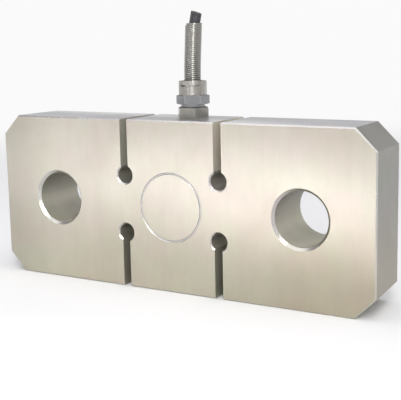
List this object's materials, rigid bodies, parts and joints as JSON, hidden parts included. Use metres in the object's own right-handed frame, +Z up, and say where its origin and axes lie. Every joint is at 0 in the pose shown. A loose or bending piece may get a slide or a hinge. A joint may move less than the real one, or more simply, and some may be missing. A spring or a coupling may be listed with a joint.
{
  "type": "weighing load cell",
  "caption": "Tension load cell: nickel-plated steel plate with an end bore for each shackle, keyhole slots, flush round covers over strain gauges and a sprung cable gland.",
  "frame": {"origin": "middle of the lower long edge face, the bottom centre of the bounding box", "axes": "+X along the plate from bore to bore, +Y through its thickness towards the back, where the cable gland is, +Z up from the edge it stands on to the gland"},
  "size_m": [0.245, 0.038, 0.1619],
  "materials": {
    "plate_steel": "ground and nickel plated, satin",
    "cover_steel": "turned and nickel plated, satin",
    "gland_nickel": "nickel plated brass, polished",
    "spring_steel": "bright drawn wire",
    "seal_rubber": "black nitrile rubber",
    "bond": "cured sealant",
    "nylon": "natural nylon",
    "jacket": "near black polyurethane, semi matt",
    "braid": "tinned copper braid",
    "gauge_foil": "amber polyimide with a constantan foil",
    "circuit_board": "green glass epoxy with tinned pads",
    "foam_tape": "white foam tape",
    "chip": "black chip resistor",
    "sleeve": "white insulating tube",
    "tinned_copper": "tinned copper",
    "enamel": "enamelled copper",
    "red": "red insulation",
    "black": "black insulation",
    "green": "green insulation",
    "white": "white insulation"
  },
  "bodies": {
    "root": {"body": "plate_steel", "front_cover": "cover_steel", "rear_cover": "cover_steel", "front_cover_seal": "bond", "rear_cover_seal": "bond", "entry_adaptor": "gland_nickel", "entry_o_ring": "seal_rubber", "gland_body": "gland_nickel", "sealing_insert": "seal_rubber", "slip_ring": "nylon", "dome_nut": "gland_nickel", "strain_relief_spring": "spring_steel", "cable_jacket": "jacket", "cable_shield": "braid", "core_red": "red", "core_black": "black", "core_green": "green", "core_white": "white", "core_conductors": "tinned_copper", "front_axial_gauge": "gauge_foil", "front_cross_gauge": "gauge_foil", "rear_axial_gauge": "gauge_foil", "rear_cross_gauge": "gauge_foil", "front_gauge_leads": "enamel", "rear_gauge_leads": "enamel", "terminal_strip": "circuit_board", "bridge_board": "circuit_board", "board_tape": "foam_tape", "trim_resistors": "chip", "crossing_sleeve": "sleeve", "link_wires": "enamel"}
  },
  "joints": []
}
